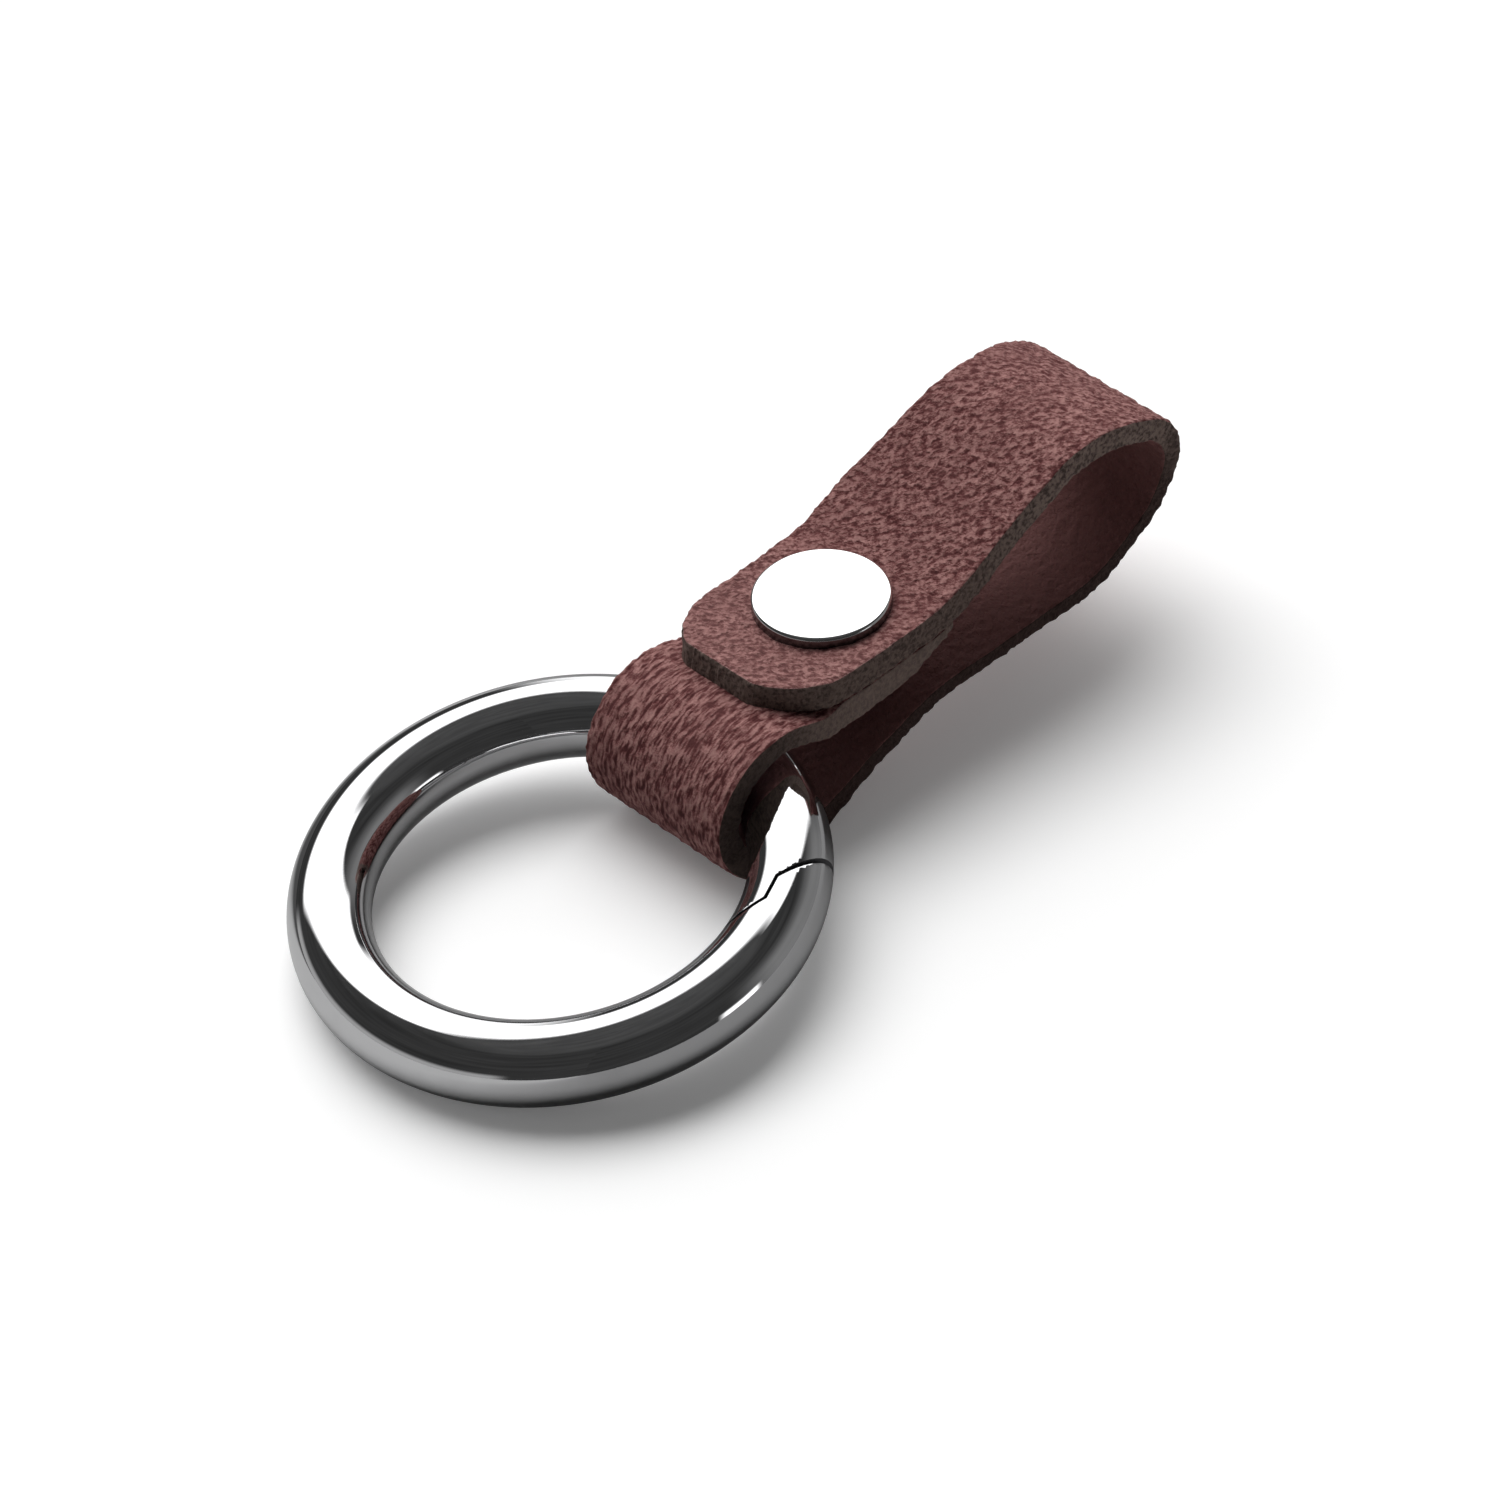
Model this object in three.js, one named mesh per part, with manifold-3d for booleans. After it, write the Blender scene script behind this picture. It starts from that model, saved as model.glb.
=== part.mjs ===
// A car keychain: a suede strap folded round a polished spring-gate ring and closed by one rivet.
// Millimetres, +Z up. The keychain lies on its side on a flat surface, with the ring at -X,
// the belt loop at +X and the strap's width along Y.

import * as THREE from 'three';
import { mergeVertices } from 'three/addons/utils/BufferGeometryUtils.js';
import Module from 'manifold-3d';

// Ring of round stock
const RING_BORE = 25;
const STOCK_DIAMETER = 5.6;
const RING_STEPS = 108;
const STOCK_SIDES = 20;

// Gate: the closing arc, seen from above, with the strap at 0 degrees
const HINGE_ANGLE = 33;
const LATCH_INNER_ANGLE = -65.8;
const LATCH_OUTER_ANGLE = -56.2;
const LATCH_INNER_RADIUS = 15;
const LATCH_OUTER_RADIUS = 15.3;
const LATCH_SLOT = 0.8;
const SEAM_GAP = 0.3;

// Hinge of the gate
const PIN_DIAMETER = 1.6;
const PIN_CLEARANCE = 0.1;
const PIN_RECESS = 0.2;
const KNUCKLE_INSET = 0.05;
const TONGUE_THICKNESS = 2;
const TONGUE_RADIUS = 2;
const TONGUE_NECK = 3.8;
const TONGUE_CLEARANCE = 0.25;
const HEEL_DEPTH = 1.3;

// Spring and plunger behind the hinge
const PLUNGER_DIAMETER = 1.8;
const PLUNGER_LENGTH = 2.6;
const PLUNGER_OFFSET = 1;
const PLUNGER_GAP = 0.15;
const SPRING_BORE_CLEARANCE = 0.2;
const SPRING_WIRE = 0.3;
const SPRING_TURNS = 5;
const SPRING_COIL_GAP = 0.45;

// Suede strap
const STRAP_WIDTH = 13;
const STRAP_THICKNESS = 2;
const FOLD_CLEARANCE = 0.13;
const LAYER_GAP = 0.15;
const FOLD_DROP = 1.5;
const FOLD_LIFT = 4.85;
const SHOULDER_RADIUS = 5;
const SHOULDER_REACH = 5.8;
const TAB_MARGIN = 4.8;
const TAB_ROUNDING = 0.2;
const SECOND_LAYER_MARGIN = 1.7;
const LEG_BLEND_RADIUS = 14;
const LEG_BLEND_MARGIN = 0.4;

// Belt loop, from the rivet out to its end and back
const LOOP_REACH = 28.5;
const LOOP_BLEND_RADIUS = 5;
const LOOP_RISE_ANGLE = 25;
const LOOP_CROWN_RADIUS = 9.5;
const LOOP_FALL_ANGLE = 28.5;
const LOOP_FALL_LENGTH = 2.6;
const LOOP_END_RADIUS = 3.15;
const LOOP_RETURN_ANGLE = 26.5;
const LOOP_RETURN_RADIUS = 8;

// Rivet
const CAP_DIAMETER = 9.5;
const CAP_HEIGHT = 1.1;
const BACK_CAP_DIAMETER = 8;
const BACK_CAP_HEIGHT = 1.1;
const CAP_WALL = 0.25;
const CAP_EDGE_RADIUS = 0.4;
const CAP_CROWN = 0.08;
const SOCKET_DIAMETER = 3.2;
const POST_DIAMETER = 1.8;
const RIVET_CLEARANCE = 0.12;
const HOLE_CLEARANCE = 0.2;
const RIVET_SIDES = 32;

const ARC_STEP = THREE.MathUtils.degToRad(9);

// Worked-out sizes of the ring and of the fold round it
const stockRadius = STOCK_DIAMETER / 2;
const ringRadius = RING_BORE / 2 + stockRadius;
const halfWidth = STRAP_WIDTH / 2;
const nearestStock = Math.sqrt((RING_BORE / 2) ** 2 - halfWidth ** 2);
const farthestStock = ringRadius + stockRadius;
const foldAxisRadius = (nearestStock + farthestStock) / 2;
const foldInnerRadius = (farthestStock - nearestStock) / 2 + FOLD_CLEARANCE;
const foldOuterRadius = foldInnerRadius + STRAP_THICKNESS;
const foldMidRadius = foldInnerRadius + STRAP_THICKNESS / 2;

// The ring rests on its front, and on the leather under its strap side
const ringTilt = Math.asin((foldOuterRadius - stockRadius) / (ringRadius + foldAxisRadius));
const ringHeight = stockRadius + ringRadius * Math.sin(ringTilt);
const foldX = foldAxisRadius * Math.cos(ringTilt);
const foldZ = foldOuterRadius;

// Middle lines of the leather's level stretches
const secondLayerZ = foldZ + foldMidRadius - FOLD_DROP;
const layerStep = STRAP_THICKNESS + LAYER_GAP;
const tabZ = secondLayerZ + layerStep;
const lowerLegZ = STRAP_THICKNESS / 2 + FOLD_LIFT;
const capRadius = CAP_DIAMETER / 2;
const levelStart = foldX + SHOULDER_REACH;
const rivetX = levelStart + capRadius;

const wasm = await Module();
wasm.setup();

const chrome = (color, roughness) => new THREE.MeshStandardMaterial({ color, roughness, metalness: 1 });
const suede = new THREE.MeshStandardMaterial({ color: 0x7d5553, roughness: 0.95, metalness: 0 });

// A closed solid from a geometry
function solid(geometry) {
  const bare = geometry.clone();
  bare.deleteAttribute('normal');
  bare.deleteAttribute('uv');
  const merged = mergeVertices(bare, 1e-5);
  return new wasm.Manifold(new wasm.Mesh({
    numProp: 3,
    vertProperties: new Float32Array(merged.attributes.position.array),
    triVerts: new Uint32Array(merged.index.array),
  }));
}

// A named mesh from a solid
function piece(name, body, material) {
  const { vertProperties, triVerts } = body.getMesh();
  const geometry = new THREE.BufferGeometry();
  geometry.setAttribute('position', new THREE.BufferAttribute(vertProperties, 3));
  geometry.setIndex(new THREE.BufferAttribute(triVerts, 1));
  geometry.computeVertexNormals();
  const mesh = new THREE.Mesh(geometry, material);
  mesh.name = name;
  return mesh;
}

const polar = (radius, degrees) => {
  const angle = THREE.MathUtils.degToRad(degrees);
  return new THREE.Vector2(radius * Math.cos(angle), radius * Math.sin(angle));
};

// A plan outline raised to a slab about the ring's plane
function slab(points, height) {
  const geometry = new THREE.ExtrudeGeometry(new THREE.Shape(points), { depth: height, bevelEnabled: false });
  geometry.translate(0, 0, -height / 2);
  return solid(geometry);
}

function disc(centre, radius, height, sides) {
  const geometry = new THREE.CylinderGeometry(radius, radius, height, sides);
  geometry.rotateX(Math.PI / 2);
  geometry.translate(centre.x, centre.y, 0);
  return solid(geometry);
}

// Ring and gate

const tall = STOCK_DIAMETER * 2;
const wide = ringRadius * 3;
const hinge = polar(ringRadius, HINGE_ANGLE);
const outward = polar(1, HINGE_ANGLE);
const alongBody = new THREE.Vector2(-outward.y, outward.x);

// A point beside the hinge: first along the ring body, then outward
const byHinge = (along, out) => hinge.clone().addScaledVector(alongBody, along).addScaledVector(outward, out);

const torus = solid(new THREE.TorusGeometry(ringRadius, stockRadius, STOCK_SIDES, RING_STEPS));

// The latch is cut on arcs about the hinge, so that the gate swings clear of the ring
const innerCorner = polar(LATCH_INNER_RADIUS, LATCH_INNER_ANGLE);
const outerCorner = polar(LATCH_OUTER_RADIUS, LATCH_OUTER_ANGLE);
const noseReach = hinge.distanceTo(innerCorner);
const shoulderReach = hinge.distanceTo(outerCorner);
const lapLine = outerCorner.clone().sub(innerCorner).normalize();
const lapInward = new THREE.Vector2(-lapLine.y, lapLine.x);

function insideLap(offset) {
  const start = innerCorner.clone().addScaledVector(lapInward, offset).addScaledVector(lapLine, -wide);
  const end = start.clone().addScaledVector(lapLine, 2 * wide);
  const points = [start, end, end.clone().addScaledVector(lapInward, wide)];
  points.push(start.clone().addScaledVector(lapInward, wide));
  return slab(points, tall);
}

const sectorStart = LATCH_INNER_ANGLE - HINGE_ANGLE;
const gateSweep = HINGE_ANGLE - sectorStart;
const sectorPoints = [new THREE.Vector2(0, 0)];
for (let i = 0; i <= 6; i += 1) {
  sectorPoints.push(polar(wide, sectorStart + (gateSweep * i) / 6));
}
const sector = slab(sectorPoints, tall);

function gateSpace(slotOffset, seamOffset) {
  const shoulder = disc(hinge, shoulderReach + slotOffset, tall, 180);
  const nose = disc(hinge, noseReach + seamOffset, tall, 180).intersect(insideLap(-seamOffset));
  return shoulder.add(nose).intersect(sector);
}

const knuckleRadius = stockRadius - KNUCKLE_INSET;
const slotHeight = TONGUE_THICKNESS + 2 * TONGUE_CLEARANCE;
const slotRadius = TONGUE_RADIUS + TONGUE_CLEARANCE;
const pinHoleRadius = PIN_DIAMETER / 2 + PIN_CLEARANCE;
const springBoreRadius = PLUNGER_DIAMETER / 2 + SPRING_BORE_CLEARANCE;
const plungerStart = HEEL_DEPTH + PLUNGER_GAP;
const springStart = plungerStart + PLUNGER_LENGTH + PLUNGER_GAP;
const springPitch = SPRING_WIRE + SPRING_COIL_GAP;
const springLength = SPRING_TURNS * springPitch + SPRING_WIRE;
const springEnd = springStart + springLength;
const springRadius = PLUNGER_DIAMETER / 2 - SPRING_WIRE / 2;

// A round bar along the spring's line, from one distance behind the hinge to another
function springLineBar(radius, from, to) {
  const geometry = new THREE.CylinderGeometry(radius, radius, to - from, 16);
  geometry.rotateZ(THREE.MathUtils.degToRad(HINGE_ANGLE));
  const middle = byHinge((from + to) / 2, -PLUNGER_OFFSET);
  geometry.translate(middle.x, middle.y, 0);
  return solid(geometry);
}

function ringBody() {
  const bodyGap = knuckleRadius + 2 * stockRadius;
  const fork = [byHinge(0, bodyGap), byHinge(0, -bodyGap), byHinge(-bodyGap, -bodyGap), byHinge(-bodyGap, bodyGap)];
  const knuckle = torus.intersect(disc(hinge, knuckleRadius, tall, 40));
  return torus
    .subtract(gateSpace(LATCH_SLOT / 2, SEAM_GAP / 2))
    .add(knuckle)
    .subtract(slab(fork, slotHeight).intersect(disc(hinge, bodyGap, tall, 40)))
    .subtract(disc(hinge, slotRadius, slotHeight, 32))
    .subtract(disc(hinge, pinHoleRadius, tall, 20))
    .subtract(springLineBar(springBoreRadius, 0, springEnd + PLUNGER_GAP));
}

function gateBody() {
  const neckHalf = TONGUE_RADIUS - KNUCKLE_INSET;
  const neck = [byHinge(0, neckHalf), byHinge(0, -neckHalf)];
  neck.push(byHinge(-TONGUE_NECK, -neckHalf), byHinge(-TONGUE_NECK, neckHalf));
  const far = 2 * TONGUE_RADIUS;
  const beyondHeel = [byHinge(HEEL_DEPTH, -far), byHinge(far, -far), byHinge(far, far), byHinge(HEEL_DEPTH, far)];
  const tongue = disc(hinge, TONGUE_RADIUS, TONGUE_THICKNESS, 32)
    .add(slab(neck, TONGUE_THICKNESS))
    .subtract(slab(beyondHeel, tall))
    .intersect(torus);
  return torus
    .intersect(gateSpace(-LATCH_SLOT / 2, -SEAM_GAP / 2))
    .subtract(disc(hinge, knuckleRadius + SEAM_GAP, tall, 40))
    .add(tongue)
    .subtract(disc(hinge, pinHoleRadius, tall, 20));
}

// The spring's wire turns about the spring's line
class SpringCurve extends THREE.Curve {
  getPoint(t, target = new THREE.Vector3()) {
    const turn = 2 * Math.PI * SPRING_TURNS * t;
    const along = springStart + SPRING_WIRE / 2 + t * SPRING_TURNS * springPitch;
    const foot = byHinge(along, -PLUNGER_OFFSET + springRadius * Math.cos(turn));
    return target.set(foot.x, foot.y, springRadius * Math.sin(turn));
  }
}

function gateSpring() {
  const curve = new SpringCurve();
  const section = new THREE.Shape();
  section.absarc(0, 0, SPRING_WIRE / 2, 0, 2 * Math.PI, false);
  const steps = SPRING_TURNS * 8;
  const points = curve.getPoints(steps * 4);
  let selfGap = Infinity;
  points.forEach((p, i) => {
    for (let j = i + 24; j < points.length; j += 1) {
      selfGap = Math.min(selfGap, p.distanceTo(points[j]) - SPRING_WIRE);
    }
  });
  console.log(`gate_spring: least gap between turns ${selfGap.toFixed(3)} mm`);
  const settings = { steps, curveSegments: 5, extrudePath: curve, bevelEnabled: false };
  return solid(new THREE.ExtrudeGeometry(section, settings));
}

const pinLength = STOCK_DIAMETER - 2 * PIN_RECESS;

const ring = new THREE.Group();
ring.add(piece('ring_body', ringBody(), chrome(0xd9dadd, 0.06)));
ring.add(piece('gate', gateBody(), chrome(0xd9dadd, 0.06)));
ring.add(piece('hinge_pin', disc(hinge, PIN_DIAMETER / 2, pinLength, 20), chrome(0xb9babd, 0.25)));
ring.add(piece('spring_plunger', springLineBar(PLUNGER_DIAMETER / 2, plungerStart, plungerStart + PLUNGER_LENGTH),
  chrome(0xa9aaae, 0.3)));
ring.add(piece('gate_spring', gateSpring(), chrome(0x9c9da2, 0.3)));
ring.position.set(0, 0, ringHeight);
ring.rotation.y = -ringTilt;

// Strap

// The slope of a leg that leaves a level stretch by a blend and runs into a bend,
// and the length of its straight part
function leg(run, rise, blendRadius, bendRadius) {
  const drop = rise - blendRadius;
  const slope = Math.asin((bendRadius + blendRadius) / Math.hypot(run, drop)) + Math.atan2(drop, run);
  return { slope, length: run * Math.cos(slope) + drop * Math.sin(slope) };
}

// A middle line made of straights and arcs, seen from the side
class Route {
  constructor(x, z, heading) {
    this.stations = [{ x, z, heading }];
  }

  get end() {
    return this.stations[this.stations.length - 1];
  }

  line(length) {
    const { x, z, heading } = this.end;
    this.stations.push({ x: x + length * Math.cos(heading), z: z + length * Math.sin(heading), heading });
    return this;
  }

  // A positive turn goes to the left
  arc(radius, turn) {
    const count = Math.ceil(Math.abs(turn) / ARC_STEP);
    const start = this.end;
    const side = Math.sign(turn);
    for (let i = 1; i <= count; i += 1) {
      const heading = start.heading + (turn * i) / count;
      const x = start.x + side * radius * (Math.sin(heading) - Math.sin(start.heading));
      const z = start.z - side * radius * (Math.cos(heading) - Math.cos(start.heading));
      this.stations.push({ x, z, heading });
    }
    return this;
  }

  // The outline of a band along the line
  outline(thickness) {
    const offset = (side) => ({ x, z, heading }) =>
      new THREE.Vector2(x - (side * thickness * Math.sin(heading)) / 2, z + (side * thickness * Math.cos(heading)) / 2);
    return [...this.stations.map(offset(-1)), ...this.stations.map(offset(1)).reverse()];
  }
}

// A side outline drawn out across the strap's width
function acrossWidth(points, width) {
  const geometry = new THREE.ExtrudeGeometry(new THREE.Shape(points), { depth: width, bevelEnabled: false });
  geometry.rotateX(Math.PI / 2);
  geometry.translate(0, width / 2, 0);
  return solid(geometry);
}

const levelEnd = rivetX + capRadius - STRAP_THICKNESS / 2;
const secondLayerRun = CAP_DIAMETER + SECOND_LAYER_MARGIN;
const legBlendX = levelStart + secondLayerRun + LEG_BLEND_MARGIN;
const shoulder = leg(levelStart - foldX, foldZ - secondLayerZ, SHOULDER_RADIUS, foldMidRadius);
const lowerLeg = leg(legBlendX - foldX, lowerLegZ - foldZ, LEG_BLEND_RADIUS, foldMidRadius);
const tabBlendRadius = SHOULDER_RADIUS - layerStep;
const tabBlendX = levelStart - tabBlendRadius * Math.sin(shoulder.slope);
const tabBlendZ = tabZ + tabBlendRadius * (1 - Math.cos(shoulder.slope));
const tipX = levelStart - TAB_MARGIN;
const tipRun = (tabBlendX - tipX) / Math.cos(shoulder.slope);

const riseAngle = THREE.MathUtils.degToRad(LOOP_RISE_ANGLE);
const fallAngle = THREE.MathUtils.degToRad(LOOP_FALL_ANGLE);
const returnAngle = THREE.MathUtils.degToRad(LOOP_RETURN_ANGLE);

// The rising straight takes up what is left of the reach after the bends
const loopEndX = rivetX + LOOP_REACH - STRAP_THICKNESS / 2;
const crownRun = LOOP_CROWN_RADIUS * (Math.sin(riseAngle) + Math.sin(fallAngle));
const fallRun = LOOP_FALL_LENGTH * Math.cos(fallAngle) + LOOP_END_RADIUS * (1 - Math.sin(fallAngle));
const riseStartX = levelEnd + LOOP_BLEND_RADIUS * Math.sin(riseAngle);
const riseLength = (loopEndX - riseStartX - crownRun - fallRun) / Math.cos(riseAngle);

// The tab from its tip, or from a point before it, to the end of the level stretch
function tabEnd(before) {
  const run = tipRun + before;
  const x = tabBlendX - run * Math.cos(shoulder.slope);
  const z = tabBlendZ + run * Math.sin(shoulder.slope);
  return new Route(x, z, -shoulder.slope)
    .line(run)
    .arc(tabBlendRadius, shoulder.slope)
    .line(levelEnd - levelStart);
}

function strap() {
  const route = tabEnd(0)
    .arc(LOOP_BLEND_RADIUS, riseAngle)
    .line(riseLength)
    .arc(LOOP_CROWN_RADIUS, -riseAngle - fallAngle)
    .line(LOOP_FALL_LENGTH)
    .arc(LOOP_END_RADIUS, fallAngle + returnAngle - Math.PI);

  // The straight way back takes up the height that is left above the lower leg
  const returnDrop = route.end.z - lowerLegZ - LOOP_RETURN_RADIUS * (1 - Math.cos(returnAngle));
  route.line(returnDrop / Math.sin(returnAngle)).arc(LOOP_RETURN_RADIUS, -returnAngle);
  route.line(route.end.x - legBlendX)
    .arc(LEG_BLEND_RADIUS, lowerLeg.slope)
    .line(lowerLeg.length)
    .arc(foldMidRadius, -Math.PI - lowerLeg.slope - shoulder.slope)
    .line(shoulder.length)
    .arc(SHOULDER_RADIUS, shoulder.slope)
    .line(secondLayerRun);
  const blank = acrossWidth(route.outline(STRAP_THICKNESS), STRAP_WIDTH);

  // The tab's end is cut to an arc a little wider than the strap
  const tabBand = acrossWidth(tabEnd(STRAP_THICKNESS).outline(STRAP_THICKNESS + LAYER_GAP), 2 * STRAP_WIDTH);
  const endRadius = halfWidth + TAB_ROUNDING;
  const roundEnd = disc(new THREE.Vector2(tipX + endRadius, 0), endRadius, 8 * foldOuterRadius, 64);
  const corner = [new THREE.Vector2(tipX - endRadius, -STRAP_WIDTH), new THREE.Vector2(tipX + endRadius, -STRAP_WIDTH)];
  corner.push(new THREE.Vector2(tipX + endRadius, STRAP_WIDTH), new THREE.Vector2(tipX - endRadius, STRAP_WIDTH));
  const waste = tabBand.intersect(slab(corner, 8 * foldOuterRadius)).subtract(roundEnd);

  // One punched hole goes through the tab and the second layer
  const holeHeight = tabZ - secondLayerZ + 2 * STRAP_THICKNESS;
  const hole = disc(new THREE.Vector2(rivetX, 0), SOCKET_DIAMETER / 2 + HOLE_CLEARANCE, holeHeight, 24)
    .translate([0, 0, (tabZ + secondLayerZ) / 2]);
  return blank.subtract(waste).subtract(hole);
}

// Rivet

const tabTop = tabZ + STRAP_THICKNESS / 2;
const secondLayerUnder = secondLayerZ - STRAP_THICKNESS / 2;
const flangeLow = CAP_WALL + RIVET_CLEARANCE;
const lipRun = 2 * CAP_WALL;

const turned = (points) => {
  const geometry = new THREE.LatheGeometry(points.map(([r, z]) => new THREE.Vector2(r, z)), RIVET_SIDES);
  geometry.rotateX(Math.PI / 2);
  return solid(geometry);
};

// A cap's section, from the lip that is rolled in under the flange to the crown
function capSection(diameter, height) {
  const radius = diameter / 2;
  const edge = [];
  for (let i = 0; i <= 4; i += 1) {
    const angle = (i * Math.PI) / 8;
    edge.push([
      radius - CAP_EDGE_RADIUS + CAP_EDGE_RADIUS * Math.cos(angle),
      height - CAP_CROWN - CAP_EDGE_RADIUS + CAP_EDGE_RADIUS * Math.sin(angle),
    ]);
  }
  return [
    [0, height - CAP_WALL],
    [radius - CAP_WALL, height - CAP_WALL - CAP_CROWN],
    [radius - CAP_WALL, CAP_WALL],
    [radius - CAP_WALL - lipRun, CAP_WALL],
    [radius - CAP_WALL - lipRun, 0],
    [radius - CAP_WALL / 2, 0],
    [radius, CAP_WALL / 2],
    ...edge,
    [0, height],
  ];
}

const flangeRadius = (diameter) => diameter / 2 - CAP_WALL - RIVET_CLEARANCE;
const flangeHigh = (height) => height - CAP_WALL - CAP_CROWN - RIVET_CLEARANCE;

const socketLength = STRAP_THICKNESS + LAYER_GAP + STRAP_THICKNESS / 2;
const socketRadius = SOCKET_DIAMETER / 2;
const socketBore = POST_DIAMETER / 2 + RIVET_CLEARANCE;

// The socket: a flange held in the cap and a tube through the tab
const socketSection = [
  [socketBore, flangeHigh(CAP_HEIGHT)],
  [socketBore, -socketLength],
  [socketRadius, -socketLength],
  [socketRadius, flangeLow],
  [flangeRadius(CAP_DIAMETER), flangeLow],
  [flangeRadius(CAP_DIAMETER), flangeHigh(CAP_HEIGHT)],
  [socketBore, flangeHigh(CAP_HEIGHT)],
];

// The post: a flange held in the back cap and a stem up the tube
const gripLength = 2 * STRAP_THICKNESS + LAYER_GAP;
const postRadius = POST_DIAMETER / 2;
const postSection = [
  [0, -flangeHigh(BACK_CAP_HEIGHT)],
  [flangeRadius(BACK_CAP_DIAMETER), -flangeHigh(BACK_CAP_HEIGHT)],
  [flangeRadius(BACK_CAP_DIAMETER), -flangeLow],
  [postRadius, -flangeLow],
  [postRadius, gripLength],
  [0, gripLength],
];

const rivet = new THREE.Group();
const cap = piece('rivet_cap', turned(capSection(CAP_DIAMETER, CAP_HEIGHT)), chrome(0xe4e4e6, 0.05));
const socket = piece('rivet_socket', turned(socketSection), chrome(0xb9babd, 0.25));
cap.position.z = tabTop + RIVET_CLEARANCE;
socket.position.z = tabTop + RIVET_CLEARANCE;
const backCap = piece('rivet_back_cap', turned(capSection(BACK_CAP_DIAMETER, BACK_CAP_HEIGHT)), chrome(0xe4e4e6, 0.05));
backCap.rotation.x = Math.PI;
const post = piece('rivet_post', turned(postSection), chrome(0xb9babd, 0.25));
backCap.position.z = secondLayerUnder - RIVET_CLEARANCE;
post.position.z = secondLayerUnder - RIVET_CLEARANCE;
rivet.add(cap, socket, post, backCap);
rivet.position.x = rivetX;

// The whole keychain, with its origin under the middle of its box
const keychain = new THREE.Group();
keychain.add(ring, piece('strap', strap(), suede), rivet);
keychain.updateMatrixWorld(true);
const box = new THREE.Box3().setFromObject(keychain, true);
keychain.position.set(-(box.min.x + box.max.x) / 2, -(box.min.y + box.max.y) / 2, -box.min.z);

export default keychain;
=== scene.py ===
import math

import bpy
from mathutils import Matrix, Vector


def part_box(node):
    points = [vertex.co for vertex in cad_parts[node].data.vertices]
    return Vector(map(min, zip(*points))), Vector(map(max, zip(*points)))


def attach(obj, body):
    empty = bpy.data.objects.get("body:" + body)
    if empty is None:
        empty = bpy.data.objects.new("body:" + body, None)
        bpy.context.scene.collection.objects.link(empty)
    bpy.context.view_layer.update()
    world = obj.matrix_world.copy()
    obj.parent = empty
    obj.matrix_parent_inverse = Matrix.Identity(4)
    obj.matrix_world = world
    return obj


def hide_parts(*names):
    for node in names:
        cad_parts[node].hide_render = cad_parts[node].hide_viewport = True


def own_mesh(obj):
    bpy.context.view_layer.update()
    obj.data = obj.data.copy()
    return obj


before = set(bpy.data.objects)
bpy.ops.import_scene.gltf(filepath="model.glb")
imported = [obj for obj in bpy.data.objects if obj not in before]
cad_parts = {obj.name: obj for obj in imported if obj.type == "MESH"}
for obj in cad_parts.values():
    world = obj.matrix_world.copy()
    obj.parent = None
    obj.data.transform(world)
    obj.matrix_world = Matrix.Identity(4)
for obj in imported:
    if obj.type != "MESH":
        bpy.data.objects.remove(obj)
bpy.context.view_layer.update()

MM = 0.001

# Ring and gate, as in the part: sizes in millimetres, angles seen from above the ring
RING_X = -17.6787
RING_CENTRE = Vector((RING_X, 0.0, 4.3661))
RING_TILT = math.radians(5.88)
RING_RADIUS = 15.3
STOCK_RADIUS = 2.8
HINGE_ANGLE = 33.0
LATCH_INNER = (15.0, -65.8)
LATCH_OUTER = (15.3, -56.2)
LATCH_SLOT = 0.3
SLOT_SHIFT = 0.35
SEAM = 0.28
KNUCKLE_RADIUS = 2.75
KNUCKLE_GAP = 0.3
TONGUE_RADIUS = 2.0
TONGUE_THICKNESS = 2.0
TONGUE_CLEARANCE = 0.25
NECK_LENGTH = 4.0
HEEL = 1.3
FORK_SLOT_LENGTH = 10.0
FORK_SLOT_WIDTH = 14.0
PIN_RADIUS = 0.8
PIN_END_RADIUS = 0.62
PIN_CHAMFER = 0.16
PIN_HALF_LENGTH = 2.46
PIN_ROOM = 0.02
PIN_SKIN = 0.3
PLUNGER_BORE = 1.1
PLUNGER_OFFSET = 1.0
PLUNGER_REACH = 8.6
SPRING_START = 4.2
SPRING_RADIUS = 0.75
SPRING_WIRE = 0.3
SPRING_PITCH = 0.75
SPRING_TURNS = 5
CUT_ROUND = 0.1
CUT_FACE_DEPTH = (0.03, 0.12)

# Strap, as in the part, measured from the ring's middle
HALF_WIDTH = 6.5
THICKNESS = 2.0
OUTER = 1.05
FOLD = Vector((14.3128, 5.8415))
FOLD_MID = 4.8415
SECOND_LAYER_Z = 9.1829
TAB_Z = 11.3329
LOWER_LEG_Z = 5.85
LEVEL_START = 20.1128
LEVEL_END = 28.6128
LEG_BLEND_X = 31.7128
SHOULDER_RADIUS = 5.0
LEG_BLEND_RADIUS = 14.0
LOOP_BLEND_RADIUS = 5.0
LOOP_RISE_ANGLE = math.radians(25.0)
LOOP_RISE_LENGTH = 10.1
LOOP_CROWN_RADIUS = 9.5
LOOP_FALL_ANGLE = math.radians(28.5)
LOOP_FALL_LENGTH = 2.6
LOOP_END_RADIUS = 3.15
LOOP_RETURN_ANGLE = math.radians(26.5)
LOOP_RETURN_RADIUS = 8.0
LAYER_END_ANGLE = math.radians(21.0)
TAB_TIP_X = 15.3128
TAB_END_RADIUS = 6.7
TAB_STATIONS = 18
LOOP_STATIONS = 43
TIP_STATIONS = (0.12, 0.5)
STATION_PITCH = 1.15
TAB_PITCH = 0.75
LOOP_END_PITCH = 0.8
STRAP_ROWS = 16

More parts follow.
